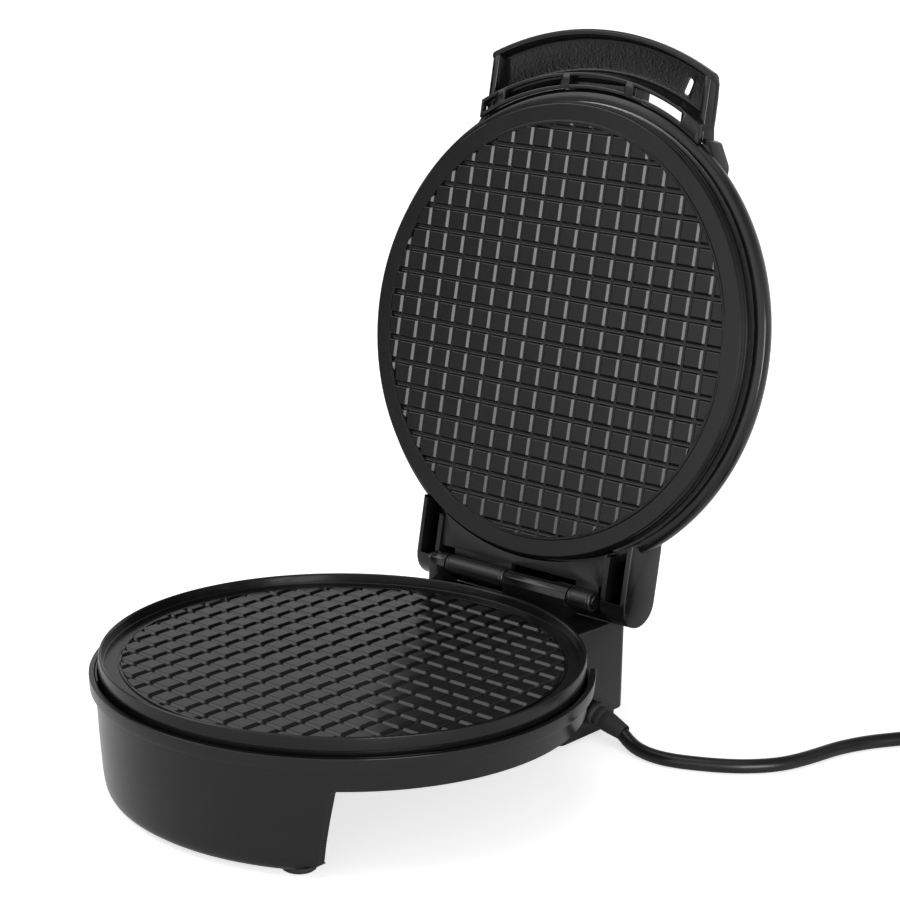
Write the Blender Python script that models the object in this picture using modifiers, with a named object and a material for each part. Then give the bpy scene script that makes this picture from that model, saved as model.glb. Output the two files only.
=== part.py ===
"""Waffle cone maker: round base with a front leg and a rear hinge block, grooved baking plates and a hinged lid.

Sizes are in millimetres. X is to the right, Y to the back (hinge side), Z up, the table at Z = 0.
Lid parts are drawn closed and then swung open about the hinge pin.
"""
import math
import bmesh
import bpy
from mathutils import Matrix, Vector

MM = 0.001
SHIFT_Y = -37.5            # puts the middle of the bounding box on the origin
LID_OPEN = 99.9            # opening angle of the lid at rest, degrees
HINGE_Y, HINGE_Z = 110.1, 59.65
PIN_R, BORE_R, KNUCKLE_R = 1.5, 1.75, 4.3

PLATE_Z = 54.0             # baking face of the lower plate
PLATE_R = 97.8             # outside of both plates
FACE_R = 89.9              # radius of the grooved zone
RIM_Z = 57.6               # top of the lower plate's raised rim
UPPER_Z = 57.9             # baking face of the upper plate when closed
BODY_R = 100.2             # outside of the base at its top edge
BODY_TOP = 50.4
ARCH_Z = 36.6              # underside of the base between its legs
FLOOR_TOP = 39.0
WALL = 2.4
LEG_HALF_TOP, LEG_HALF_LOW = 63.0, 58.0
LEG_BOTTOM = 2.5
BLOCK_HALF = 46.6          # rear block
BLOCK_BACK = 127.0
BLOCK_FRONT = 85.0
COVER_TOP = 8.7            # top of the rear block's bottom cover
LID_R = 104.0
BAND_HALF = 58.0           # half width of neck and handle
NECK_Z0, NECK_Z1 = 60.4, 82.6
HANDLE_R = 130.0
SLOT_EDGES = ((-57.0, -50.5), (-45.5, -16.0), (-11.5, 18.0), (22.5, 48.5))
FOOT_R = 6.8
FRONT_FOOT = (44.9, -72.4)
REAR_FOOT = (36.0, 112.0)
SCREW_ANGLES = (90.0, 210.0, 330.0)
ELEMENT_R, TUBE_R = 62.0, 3.5
CORD_D = 6.0
CORD_EXIT = (47.1, 106.3, 12.7)
COIL_CENTRE = (197.0, 211.0)
COIL_MID_R, COIL_HALF_W, COIL_H = 30.0, 6.0, 18.0

for old in list(bpy.data.objects):
    bpy.data.objects.remove(old, do_unlink=True)
PART = bpy.data.collections.new("waffle_cone_maker")
CUTS = bpy.data.collections.new("cutters")
bpy.context.scene.collection.children.link(PART)
bpy.context.scene.collection.children.link(CUTS)


def material(name, colour, rough, metal=0.0):
    m = bpy.data.materials.new(name)
    m.use_nodes = True
    b = m.node_tree.nodes["Principled BSDF"]
    b.inputs["Base Color"].default_value = (*colour, 1.0)
    b.inputs["Roughness"].default_value = rough
    b.inputs["Metallic"].default_value = metal
    return m


M_SHELL = material("black_gloss_plastic", (0.012, 0.012, 0.013), 0.28)
M_SATIN = material("black_satin_plastic", (0.016, 0.016, 0.017), 0.45)
M_PLATE = material("nonstick_coating", (0.030, 0.030, 0.032), 0.38, 0.4)
M_STEEL = material("steel", (0.55, 0.55, 0.56), 0.3, 1.0)
M_ALU = material("aluminium", (0.72, 0.72, 0.73), 0.35, 1.0)
M_TUBE = material("element_sheath", (0.22, 0.21, 0.20), 0.5, 0.9)
M_RUBBER = material("rubber", (0.02, 0.02, 0.02), 0.8)
M_CORD = material("cord_pvc", (0.014, 0.014, 0.015), 0.5)
M_RED = material("lens_red", (0.55, 0.03, 0.02), 0.2)
M_GREEN = material("lens_green", (0.03, 0.40, 0.08), 0.2)
M_CERAMIC = material("ceramic", (0.80, 0.78, 0.72), 0.6)


def put(x, y, z):
    return Vector((x * MM, (y + SHIFT_Y) * MM, z * MM))


ACROSS = {                 # a shape drawn flat and raised along Z, laid across X, Y or Z
    "X": Matrix(((0, 0, 1, 0), (1, 0, 0, 0), (0, 1, 0, 0), (0, 0, 0, 1))),
    "Y": Matrix(((1, 0, 0, 0), (0, 0, 1, 0), (0, 1, 0, 0), (0, 0, 0, 1))),
    "Z": Matrix.Identity(4),
}
PLACE = Matrix.Translation((0.0, SHIFT_Y * MM, 0.0)) @ Matrix.Scale(MM, 4)


def solid(name, bm, mat=None, cutter=False):
    """Object in metres from a mesh drawn in millimetres."""
    bmesh.ops.transform(bm, matrix=PLACE, verts=bm.verts)
    bmesh.ops.remove_doubles(bm, verts=bm.verts, dist=1e-6)
    bmesh.ops.recalc_face_normals(bm, faces=bm.faces)
    mesh = bpy.data.meshes.new(name)
    bm.to_mesh(mesh)
    bm.free()
    ob = bpy.data.objects.new(name, mesh)
    (CUTS if cutter else PART).objects.link(ob)
    if mat:
        mesh.materials.append(mat)
    return ob


def drawn(name, data, turn_steps=0):
    """Mesh that a curve gives, or a profile under a Screw modifier."""
    draft = bpy.data.objects.new(name + "_draft", data)
    CUTS.objects.link(draft)
    if turn_steps:
        screw = draft.modifiers.new("turn", "SCREW")
        screw.steps = turn_steps
        screw.use_merge_vertices = True
        screw.merge_threshold = 0.001
    dg = bpy.context.evaluated_depsgraph_get()
    dg.update()
    mesh = bpy.data.meshes.new_from_object(draft.evaluated_get(dg))
    bpy.data.objects.remove(draft, do_unlink=True)
    bm = bmesh.new()
    bm.from_mesh(mesh)
    bpy.data.meshes.remove(mesh)
    for face in bm.faces:
        face.material_index = 0
    return bm


def revolve(name, profile, mat=None, segs=72, centre=(0.0, 0.0), cutter=False, axis="Z"):
    """(r, z) outline turned about an axis; one that starts and ends at r = 0 closes on the axis."""
    draft = bmesh.new()
    points = [draft.verts.new((r, 0.0, z)) for r, z in profile]
    for p, q in zip(points, points[1:]):
        draft.edges.new((p, q))
    if profile[0][0] > 0:
        draft.edges.new((points[-1], points[0]))
    data = bpy.data.meshes.new(name)
    draft.to_mesh(data)
    draft.free()
    bm = drawn(name, data, segs)
    bmesh.ops.transform(bm, matrix=ACROSS[axis] @ Matrix.Translation((*centre, 0.0)), verts=bm.verts)
    return solid(name, bm, mat, cutter)


def prism(name, outline, axis, lo, hi, mat=None, cutter=False, lo_outline=None):
    """Outline in the plane across `axis`, swept from lo to hi. X: (y, z), Y: (x, z), Z: (x, y)."""
    curve = bpy.data.curves.new(name, "CURVE")
    curve.dimensions = "2D"
    curve.fill_mode = "BOTH"
    curve.extrude = (hi - lo) / 2
    line = curve.splines.new("POLY")
    line.points.add(len(outline) - 1)
    for q, p in zip(line.points, outline):
        q.co = (*p, 0.0, 1.0)
    line.use_cyclic_u = True
    bm = drawn(name, curve)
    if lo_outline:                                   # a tapered sweep: the low end takes its own outline
        for v in bm.verts:
            if v.co.z < 0:
                k = min(range(len(outline)), key=lambda i: (Vector(outline[i]) - v.co.xy).length)
                v.co.xy = lo_outline[k]
    bmesh.ops.transform(bm, matrix=ACROSS[axis] @ Matrix.Translation((0.0, 0.0, (lo + hi) / 2)), verts=bm.verts)
    return solid(name, bm, mat, cutter)


def box(name, x0, x1, y0, y1, z0, z1, mat=None, cutter=False):
    bm = bmesh.new()
    middle = Matrix.Translation(((x0 + x1) / 2, (y0 + y1) / 2, (z0 + z1) / 2))
    bmesh.ops.create_cube(bm, size=1.0, matrix=middle @ Matrix.Diagonal((x1 - x0, y1 - y0, z1 - z0, 1.0)))
    return solid(name, bm, mat, cutter)


def rod(name, axis, centre, radius, lo, hi, mat=None, cutter=False, segs=20):
    """Round bar; centre is the pair of coordinates across the axis."""
    bm = bmesh.new()
    bmesh.ops.create_cone(bm, cap_ends=True, segments=segs, radius1=radius, radius2=radius, depth=hi - lo,
                          matrix=ACROSS[axis] @ Matrix.Translation((*centre, (lo + hi) / 2)))
    return solid(name, bm, mat, cutter)



def fillet(points, radii, steps=4):
    """Round the corners of a closed 2-D outline."""
    out = []
    n = len(points)
    for i, p in enumerate(points):
        r = radii[i] if isinstance(radii, (list, tuple)) else radii
        p = Vector(p)
        if r <= 0:
            out.append(tuple(p))
            continue
        a = (Vector(points[i - 1]) - p).normalized()
        b = (Vector(points[(i + 1) % n]) - p).normalized()
        half = a.angle(b) / 2
        reach = r / math.tan(half)
        c = p + (a + b).normalized() * (r / math.sin(half))
        s, e = p + a * reach - c, p + b * reach - c
        turn = s.angle_signed(e)
        for k in range(steps + 1):
            t = -turn * k / steps
            out.append((c.x + s.x * math.cos(t) - s.y * math.sin(t), c.y + s.x * math.sin(t) + s.y * math.cos(t)))
    return out


def combine(target, tool, how):
    mod = target.modifiers.new(how, "BOOLEAN")
    mod.operation = how
    mod.solver = "EXACT"
    mod.object = tool
    dg = bpy.context.evaluated_depsgraph_get()
    dg.update()
    mesh = bpy.data.meshes.new_from_object(target.evaluated_get(dg))
    target.modifiers.clear()
    old = target.data
    mats = list(old.materials)
    target.data = mesh
    mesh.name = target.name
    mesh.materials.clear()
    for m in mats[:1]:
        mesh.materials.append(m)
    for p in mesh.polygons:
        p.material_index = 0
    bpy.data.meshes.remove(old)
    bpy.data.objects.remove(tool, do_unlink=True)
    bm = bmesh.new()
    bm.from_mesh(mesh)
    bmesh.ops.remove_doubles(bm, verts=bm.verts, dist=2e-6)
    bmesh.ops.dissolve_degenerate(bm, edges=bm.edges, dist=1e-6)
    bm.to_mesh(mesh)
    bm.free()
    return target


def cut(target, *tools):
    for t in tools:
        combine(target, t, "DIFFERENCE")
    return target


def join(target, *tools):
    for t in tools:
        combine(target, t, "UNION")
    return target


def keep(target, tool):
    return combine(target, tool, "INTERSECT")


def polar(r, deg):
    a = math.radians(deg)
    return r * math.cos(a), r * math.sin(a)


def swept_tube(name, points, radius, mat, res=2):
    cu = bpy.data.curves.new(name, "CURVE")
    cu.dimensions = "3D"
    sp = cu.splines.new("POLY")
    sp.points.add(len(points) - 1)
    for q, p in zip(sp.points, points):
        q.co = (*p, 1.0)
    cu.bevel_depth = radius
    cu.bevel_resolution = res
    cu.use_fill_caps = True
    return solid(name, drawn(name, cu), mat)


LID_PARTS = []


def lid(ob):
    LID_PARTS.append(ob)
    return ob


# ---------------------------------------------------------------- base housing
outer = [(0.0, LEG_BOTTOM), (93.2, LEG_BOTTOM), (95.2, 3.6), (96.3, 6.0), (97.0, 14.0), (97.8, 24.0),
         (98.7, ARCH_Z), (99.3, 42.0), (99.8, 46.0), (BODY_R, BODY_TOP), (0.0, BODY_TOP)]
housing = revolve("base_housing", outer, M_SHELL, 80)
block_top = fillet([(-BLOCK_HALF - 0.9, 62.0), (BLOCK_HALF + 0.9, 62.0), (BLOCK_HALF + 0.9, BLOCK_BACK),
                    (-BLOCK_HALF - 0.9, BLOCK_BACK)], [0, 0, 4.0, 4.0])
block_low = fillet([(-BLOCK_HALF, 62.0), (BLOCK_HALF, 62.0), (BLOCK_HALF, BLOCK_BACK - 1.4),
                    (-BLOCK_HALF, BLOCK_BACK - 1.4)], [0, 0, 4.0, 4.0])
join(housing, prism("rear_block", block_top, "Z", COVER_TOP, BODY_TOP, lo_outline=block_low))
lug_web = [(105.8, BODY_TOP - 1.0), (105.8, HINGE_Z), (106.5, HINGE_Z + 2.3), (108.2, HINGE_Z + 3.85),
           (110.1, HINGE_Z + KNUCKLE_R), (112.0, HINGE_Z + 3.85), (113.7, HINGE_Z + 2.3),
           (114.4, HINGE_Z), (115.6, BODY_TOP - 1.0)]
join(housing, prism("lug_a", lug_web, "X", -46.0, -37.5), prism("lug_c", lug_web, "X", -4.1, 30.3))
# open space under the base, leaving a front leg and the rear block
cut(housing, box("open_mid", -130, 130, -35.0, BLOCK_FRONT, -5, ARCH_Z, cutter=True))
for s in (1, -1):
    low = [(s * LEG_HALF_LOW, -130), (s * 130, -130), (s * 130, -34), (s * LEG_HALF_LOW, -34)]
    high = [(s * LEG_HALF_TOP, -130), (s * 130, -130), (s * 130, -34), (s * LEG_HALF_TOP, -34)]
    cut(housing, prism("open_front", high, "Z", -1.0, ARCH_Z, None, True, low))
    side = [(s * (BLOCK_HALF + 0.6), 84.0), (s * 130, 84.0), (s * 130, 140.0), (s * (BLOCK_HALF + 0.6), 140.0)]
    low = [(s * BLOCK_HALF, 84.0), (s * 130, 84.0), (s * 130, 140.0), (s * BLOCK_HALF, 140.0)]
    cut(housing, prism("open_rear", side, "Z", COVER_TOP - 9, ARCH_Z, None, True, low))
cut(housing, box("above_cover", -70, 70, 84.0, 140.0, -5, COVER_TOP, cutter=True))
# pocket for the lower plate and the room below it
cut(housing, revolve("pocket", [(0, FLOOR_TOP), (96.2, FLOOR_TOP), (96.6, 45.6), (98.3, 46.0),
                                (98.3, BODY_TOP + 1), (0, BODY_TOP + 1)], None, 80, cutter=True))
# the wall steps outward away from the front, leaving a gap beside the plate
gap = revolve("side_gap", [(90.0, 47.2), (99.1, 47.2), (99.1, BODY_TOP + 1), (90.0, BODY_TOP + 1)], None, 80,
              cutter=True)
cut(gap, prism("gap_limit", [(0, 0), polar(160, 234.5), (0, -160), polar(160, 305.5)], "Z", 40, 60))
cut(housing, gap)
# hollow of the front leg, with a floor strip that carries the feet
hollow = revolve("leg_hollow", [(0, 5.0), (91.8, 5.0), (93.6, 6.4), (94.4, 14.0), (95.2, 24.0),
                                (96.0, ARCH_Z), (0, ARCH_Z)], None, 80, cutter=True)
keep(hollow, box("leg_zone", -75, 75, -130, -30, -5, 60))
cut(housing, hollow)
cut(housing, box("leg_floor", -130, 130, -66.0, -30.0, -5, 5.5, cutter=True))
for s in (1, -1):
    cut(housing, box("leg_floor_side", s * 50.5 - (0 if s > 0 else 80), s * 50.5 + (80 if s > 0 else 0),
                     -84.0, -60.0, -5, 5.5, cutter=True))
# hollow rear block
inner = fillet([(-44.2, BLOCK_FRONT + WALL), (44.2, BLOCK_FRONT + WALL), (44.2, 123.2), (-44.2, 123.2)], 2.0)
cut(housing, prism("block_hollow", inner, "Z", -5, ARCH_Z - 0.1, cutter=True))
upper = fillet([(-44.2, 102.6), (44.2, 102.6), (44.2, 123.6), (-44.2, 123.6)], 2.0)
cut(housing, prism("block_hollow_top", upper, "Z", ARCH_Z - 3.0, 47.6, cutter=True))
# seat in the block's top for the round end of the neck
END_Y, END_Z = 122.2, 59.9
cut(housing, rod("neck_seat", "X", (END_Y, END_Z), 11.7, -80, 80, cutter=True, segs=48))
# bores
cut(housing, rod("pin_bore", "X", (HINGE_Y, HINGE_Z), BORE_R, -60, 60, cutter=True, segs=16))
EXIT_DIR = Vector((1.0, -0.04, -0.30)).normalized()     # the cord leaves the block pointing a little down
EXIT_TURN = (Matrix.Translation(put(*CORD_EXIT)) @ Vector((1, 0, 0)).rotation_difference(EXIT_DIR)
             .to_matrix().to_4x4() @ Matrix.Translation(-put(0, 0, 0)))
bore = rod("cord_bore", "X", (0.0, 0.0), 4.3, -7.0, 4.0, cutter=True, segs=20)
bore.data.transform(EXIT_TURN)
cut(housing, bore)
cut(housing, box("wire_slot", -8, 8, 92.0, 104.0, 40.5, 45.0, cutter=True))
for a in SCREW_ANGLES:
    x, y = polar(78.0, a)
    cut(housing, rod("floor_hole", "Z", (x, y), 2.3, 30, 45, cutter=True, segs=12))
for s in (1, -1):
    x, y = FRONT_FOOT[0] * s, FRONT_FOOT[1]
    cut(housing, rod("foot_hole", "Z", (x, y), 1.9, 0, 7, cutter=True, segs=12))

# ---------------------------------------------------------------- rear block cover
cover_pts = fillet([(-BLOCK_HALF + 0.1, BLOCK_FRONT), (BLOCK_HALF - 0.1, BLOCK_FRONT),
                    (BLOCK_HALF - 0.1, BLOCK_BACK - 1.8), (-BLOCK_HALF + 0.1, BLOCK_BACK - 1.8)],
                   [3.0, 3.0, 4.0, 4.0])
cover = prism("rear_cover", cover_pts, "Z", 2.2, COVER_TOP - 0.3, M_SATIN)
well = fillet([(-44.0, BLOCK_FRONT + 2.6), (44.0, BLOCK_FRONT + 2.6), (44.0, 122.8), (-44.0, 122.8)], 2.0)
cut(cover, prism("cover_well", well, "Z", 4.4, COVER_TOP + 5, cutter=True))
for s in (1, -1):
    cut(cover, rod("cover_screw_hole", "Z", (s * 22.0, 118.5), 1.9, 0, 8, cutter=True, segs=12))
    cut(cover, rod("foot_hole", "Z", (REAR_FOOT[0] * s, REAR_FOOT[1]), 1.9, 0, 8, cutter=True, segs=12))

# ---------------------------------------------------------------- feet
def foot(name, x, y, seat, through):
    stem = 1.6
    pts = [(0, 0), (FOOT_R - 0.8, 0), (FOOT_R, 0.8), (FOOT_R, seat - 0.3), (stem, seat - 0.3),
           (stem, through + 0.3), (3.2, through + 0.3), (2.0, through + 2.8), (0, through + 2.8)]
    return revolve(name, pts, M_RUBBER, 20, (x, y))


foot("foot_front_right", FRONT_FOOT[0], FRONT_FOOT[1], LEG_BOTTOM, 5.0)
foot("foot_front_left", -FRONT_FOOT[0], FRONT_FOOT[1], LEG_BOTTOM, 5.0)
foot("foot_rear_right", REAR_FOOT[0], REAR_FOOT[1], 2.2, 4.4)
foot("foot_rear_left", -REAR_FOOT[0], REAR_FOOT[1], 2.2, 4.4)

# posts inside the rear block for the cover screws
for s in (1, -1):
    post = rod("cover_post", "Z", (s * 22.0, 118.5), 4.0, COVER_TOP + 0.5, ARCH_Z + 12.0, segs=16)
    cut(post, rod("post_hole", "Z", (s * 22.0, 118.5), 1.7, 0, 26, cutter=True, segs=12))
    join(housing, post)
    screw = [(0, 2.6), (2.9, 2.6), (2.9, 4.1), (1.4, 4.1), (1.4, 22.0), (0, 22.0)]
    side = "right" if s > 0 else "left"
    cut(cover, rod("screw_sink", "Z", (s * 22.0, 118.5), 3.3, 0, 4.5, cutter=True, segs=16))
    boss = rod("cover_boss", "Z", (s * 22.0, 118.5), 4.6, 4.35, 6.6, segs=16)
    cut(boss, rod("boss_hole", "Z", (s * 22.0, 118.5), 1.9, 0, 9, cutter=True, segs=12))
    join(cover, boss)
    revolve("cover_screw_" + side, screw, M_STEEL, 16, (s * 22.0, 118.5))

# ---------------------------------------------------------------- lower plate assembly
lower = revolve("lower_baking_plate", [(0, PLATE_Z), (95.9, PLATE_Z), (96.3, RIM_Z - 0.5), (96.8, RIM_Z),
                                       (97.3, RIM_Z), (PLATE_R, RIM_Z - 0.5), (PLATE_R, 46.5), (95.6, 46.5),
                                       (95.4, 50.0), (0, 50.0)], M_PLATE, 80)
for a in SCREW_ANGLES:
    x, y = polar(78.0, a)
    join(lower, rod("boss", "Z", (x, y), 4.5, 42.2, 50.6, segs=16))
    cut(lower, rod("boss_bore", "Z", (x, y), 1.7, 40, 49.0, cutter=True, segs=12))


def element(name, z):
    pts = []
    gap_deg = 26.0
    for i in range(37):
        a = 90 + gap_deg + (360 - 2 * gap_deg) * i / 36
        x, y = polar(ELEMENT_R, a)
        pts.append((x, y, z))
    x0, y0 = polar(ELEMENT_R, 90 + gap_deg)
    head = [(x0 + 1.5, y0 + 11.0, z), (x0 + 0.6, y0 + 5.0, z)]
    tail = [(-x0 - 0.6, y0 + 5.0, z), (-x0 - 1.5, y0 + 11.0, z)]
    return swept_tube(name, head + pts + tail, TUBE_R, M_TUBE)


element("lower_heating_element", 46.2)
shield = revolve("lower_heat_shield", [(0, 41.0), (90.0, 41.0), (91.0, 45.0), (93.0, 45.0), (93.0, 45.6),
                                       (90.5, 45.6), (89.5, 41.6), (0, 41.6)], M_ALU, 64)
for a in SCREW_ANGLES:
    x, y = polar(78.0, a)
    cut(shield, rod("shield_hole", "Z", (x, y), 5.2, 35, 50, cutter=True, segs=16))
    revolve("lower_plate_screw_%d" % (SCREW_ANGLES.index(a) + 1),
            [(0, 33.2), (3.6, 33.2), (3.6, 36.2), (1.45, 36.2), (1.45, 48.5), (0, 48.5)], M_STEEL, 16, (x, y))
rod("lower_thermostat", "Z", (0.0, 0.0), 8.0, 42.0, 49.7, M_CERAMIC, segs=24)
box("thermal_fuse", -9.0, 9.0, -40.5, -36.0, 45.6, 49.7, M_CERAMIC)

# ---------------------------------------------------------------- electrical parts in the rear block
terminal = box("terminal_block", -14.0, 14.0, 90.0, 99.0, 14.0, 26.0, M_CERAMIC)
for x in (-9.0, 0.0, 9.0):
    cut(terminal, rod("terminal_hole", "Z", (x, 94.5), 2.2, 20.0, 30.0, cutter=True, segs=12))
relief_pts = [(0, -9.6), (6.0, -9.6), (6.0, -5.3), (3.95, -5.3), (3.95, 2.3), (5.4, 2.3), (5.4, 4.4),
              (4.9, 8.4), (4.4, 13.0), (4.0, 16.6), (3.7, 17.2), (3.3, 17.2), (3.3, -7.6), (0, -7.6)]
relief = revolve("strain_relief", relief_pts, M_RUBBER, 20, axis="X")
relief.data.transform(EXIT_TURN)
clamp = box("cord_clamp", 28.0, 35.5, 98.0, 114.6, 10.6, 20.0, M_SATIN)
cut(clamp, rod("clamp_bore", "X", (CORD_EXIT[1], 15.0), 3.3, 20, 40, cutter=True, segs=16))


# ---------------------------------------------------------------- hinge pin
revolve("hinge_pin", [(0, -48.0), (3.0, -48.0), (3.0, -46.3), (PIN_R, -46.3), (PIN_R, 44.6), (0, 44.6)], M_STEEL, 16,
        (HINGE_Y, HINGE_Z), axis="X")
revolve("hinge_pin_clip", [(1.75, 43.2), (3.2, 43.2), (3.2, 44.2), (1.75, 44.2)], M_STEEL, 16,
        (HINGE_Y, HINGE_Z), axis="X")

# ---------------------------------------------------------------- lid housing (closed position)
dome_out = [(0, 66.3), (102.4, 66.3), (103.5, 66.7), (LID_R, 67.8), (LID_R, 70.2), (103.2, 73.0), (101.4, 75.4),
            (97.5, 77.4), (90.0, 79.2), (70.0, 81.2), (40.0, 82.4), (0, 82.8)]
lidh = revolve("lid_housing", dome_out, M_SHELL, 80)
neck_out = [(72.0, NECK_Z0), (111.0, NECK_Z0)]
for i in range(9):
    a = math.radians(-90 + 20 * i + 10)
    neck_out.append((108.2 + 10.8 * math.cos(a), (NECK_Z0 + NECK_Z1) / 2 + 11.1 * math.sin(a)))
neck_out += [(108.0, NECK_Z1), (84.0, NECK_Z1), (72.0, 80.5)]
join(lidh, prism("neck", neck_out, "X", -BAND_HALF, BAND_HALF))
for s in (1, -1):
    root = [(s * 50.0, -66.0), (s * 65.0, -66.0), (s * 65.0, -78.0), (s * 59.0, -95.0), (s * 50.0, -95.0)]
    join(lidh, prism("handle_root", root, "Z", 68.4, 81.5))
dome_in = [(0, 60.0), (101.3, 60.0), (101.3, 70.6), (99.4, 73.4), (96.4, 75.1), (89.2, 76.7), (70.0, 78.7),
           (40.0, 79.9), (0, 80.3)]
cut(lidh, revolve("dome_hollow", dome_in, None, 80, cutter=True))
pocket = [(80.0, 58.0), (111.0, 58.0), (111.0, NECK_Z0 + 2.4)]
for i in range(9):
    a = math.radians(-90 + 20 * i + 10)
    pocket.append((108.2 + 8.4 * math.cos(a), (NECK_Z0 + NECK_Z1) / 2 + 8.7 * math.sin(a)))
pocket += [(108.0, NECK_Z1 - 2.4), (84.0, NECK_Z1 - 2.4), (80.0, 79.0)]
cut(lidh, prism("neck_hollow", pocket, "X", -BAND_HALF + 2.5, BAND_HALF - 2.5, cutter=True))
cut(lidh, box("neck_clear", -50.0, 50.0, 100.0, 140.0, 55.0, 71.5, cutter=True))
lid(lidh)

# hinge leaf: plate between the cheeks with two knuckles
leaf = box("lid_hinge_leaf", -45.2, 45.2, 84.0, HINGE_Y - 0.4, 61.4, 64.6, M_SHELL)
cut(leaf, revolve("leaf_round", [(0, 50), (100.4, 50), (100.4, 72), (0, 72)], None, 80, cutter=True))
for x0, x1 in ((-46.0, -37.1), (-4.5, 30.7), (43.0, 46.0)):
    cut(leaf, box("leaf_notch", x0, x1, 103.6, 125.0, 55, 72, cutter=True))
for x0, x1 in ((-37.1, -4.5), (30.7, 43.0)):
    join(leaf, rod("knuckle", "X", (HINGE_Y, HINGE_Z), KNUCKLE_R, x0 + 0.05, x1 - 0.05, segs=20))
cut(leaf, rod("leaf_bore", "X", (HINGE_Y, HINGE_Z), BORE_R, -60, 60, cutter=True, segs=16))
for s in (1, -1):
    arm = box("leaf_arm", s * 41.0 - 4, s * 41.0 + 4, 98.0, 102.5, 64.0, 79.9)
    join(leaf, arm)
lid(leaf)

# ---------------------------------------------------------------- upper plate assembly
upperp = revolve("upper_baking_plate", [(0, UPPER_Z), (97.2, UPPER_Z), (98.0, 58.5), (98.5, 62.4), (98.4, 63.4),
                                        (96.0, 63.4), (95.6, 61.9), (0, 61.9)], M_PLATE, 80)
for a in SCREW_ANGLES:
    x, y = polar(78.0, a)
    join(upperp, rod("boss", "Z", (x, y), 4.5, 61.3, 69.4, segs=16))
    cut(upperp, rod("boss_bore", "Z", (x, y), 1.7, 62.6, 75, cutter=True, segs=12))
lid(upperp)
lid(element("upper_heating_element", 65.8))
ushield = revolve("upper_heat_shield", [(0, 70.2), (94.0, 70.2), (95.4, 66.6), (100.9, 66.6), (100.9, 67.2),
                                        (95.9, 67.2), (94.5, 70.8), (0, 70.8)], M_ALU, 64)
for a in SCREW_ANGLES:
    x, y = polar(78.0, a)
    cut(ushield, rod("shield_hole", "Z", (x, y), 1.9, 60, 80, cutter=True, segs=12))
    lid(revolve("upper_plate_screw_%d" % (SCREW_ANGLES.index(a) + 1),
                [(0, 63.2), (1.45, 63.2), (1.45, 71.1), (3.6, 71.1), (3.6, 73.6), (0, 73.6)], M_STEEL, 16, (x, y)))
cut(ushield, box("shield_flat", -60, 60, 88.0, 120.0, 60, 80, cutter=True))
lid(ushield)
lid(rod("upper_thermostat", "Z", (0.0, 0.0), 8.0, 62.2, 69.6, M_CERAMIC, segs=24))

# ---------------------------------------------------------------- vent grille
grille = revolve("vent_grille", [(104.6, 65.0), (111.0, 65.0), (111.0, 67.6), (104.6, 67.6)], M_SHELL, 96)
keep(grille, box("grille_zone", -BAND_HALF, BAND_HALF, -130, -60, 50, 90))
slots = revolve("slots", [(105.9, 60.0), (109.8, 60.0), (109.8, 75.0), (105.9, 75.0)], None, 96, cutter=True)
for k, (x0, x1) in enumerate(SLOT_EDGES):
    piece = bpy.data.objects.new("slot", slots.data.copy())
    CUTS.objects.link(piece)
    keep(piece, box("slot_zone", x0, x1, -130, -70, 50, 90))
    cut(grille, piece)
bpy.data.objects.remove(slots, do_unlink=True)
lid(grille)

# ---------------------------------------------------------------- handle grip
channel = [(108.6, 68.0), (111.2, 68.0), (113.6, 81.0), (126.4, 79.4), (127.4, 69.0), (127.8, 68.4), (129.6, 68.4),
           (HANDLE_R, 69.4), (129.9, 76.0), (128.8, 80.0), (126.2, 82.9), (121.0, 84.4), (114.0, 84.6), (108.6, 84.0)]
grip = revolve("handle_grip", channel, M_SHELL, 112)
keep(grip, box("grip_zone", -BAND_HALF - 4.0, BAND_HALF + 4.0, -140, -60, 50, 95))
for s in (1, -1):
    end = [(-92.0, 68.7), (-117.0, 68.7), (-117.6, 70.0), (-117.2, 78.0), (-114.0, 82.2), (-104.0, 83.8),
           (-96.0, 83.0), (-92.0, 81.8)]
    wall = prism("end_wall", end, "X", min(s * 54.6, s * 60.3), max(s * 54.6, s * 60.3))
    keep(wall, revolve("wall_limit", [(105.0, 60), (129.3, 60), (129.3, 90), (105.0, 90)], None, 112))
    join(grip, wall)
keep(grip, box("grip_ends", -BAND_HALF, BAND_HALF, -141, -59, 49, 96))
for s in (1, -1):
    root = prism("root_clear", [(s * 49.7, -60.0), (s * 65.3, -60.0), (s * 65.3, -78.4), (s * 59.3, -95.4),
                                (s * 49.7, -95.4)], "Z", 60, 90, None, True)
    cut(grip, root)
hole = fillet([(41.0, -106.5), (44.5, -105.5), (45.0, -112.0), (42.5, -113.5)], 1.2, 3)
cut(grip, prism("hanging_hole", hole, "Z", 78.0, 90.0, cutter=True))
lid(grip)

# ---------------------------------------------------------------- indicator pod on the lid
pod_pts = fillet([(-16.0, -60.0), (16.0, -60.0), (16.0, -108.3), (-16.0, -108.3)], [5.0, 5.0, 0, 0])
pod = prism("indicator_pod", pod_pts, "Z", 68.2, 87.6, M_SATIN)
keep(pod, revolve("pod_limit", [(0, 60), (108.2, 60), (108.2, 95), (0, 95)], None, 112))
cut(pod, revolve("pod_saddle", [(0, 60), (103.0, 60), (104.35, 66.4), (104.35, 70.4), (103.5, 73.2), (101.6, 75.8),
                                (97.6, 77.75), (90.0, 79.55), (70.0, 81.55), (40.0, 82.75), (0, 83.15)],
                 None, 80, cutter=True))
cut(pod, prism("pod_slope", [(-58.0, 90.0), (-58.0, 83.0), (-66.0, 87.0), (-70.0, 90.0)], "X", -30, 30,
               cutter=True))
inner = fillet([(-13.6, -64.0), (13.6, -64.0), (13.6, -106.0), (-13.6, -106.0)], [3.0, 3.0, 0, 0])
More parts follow.
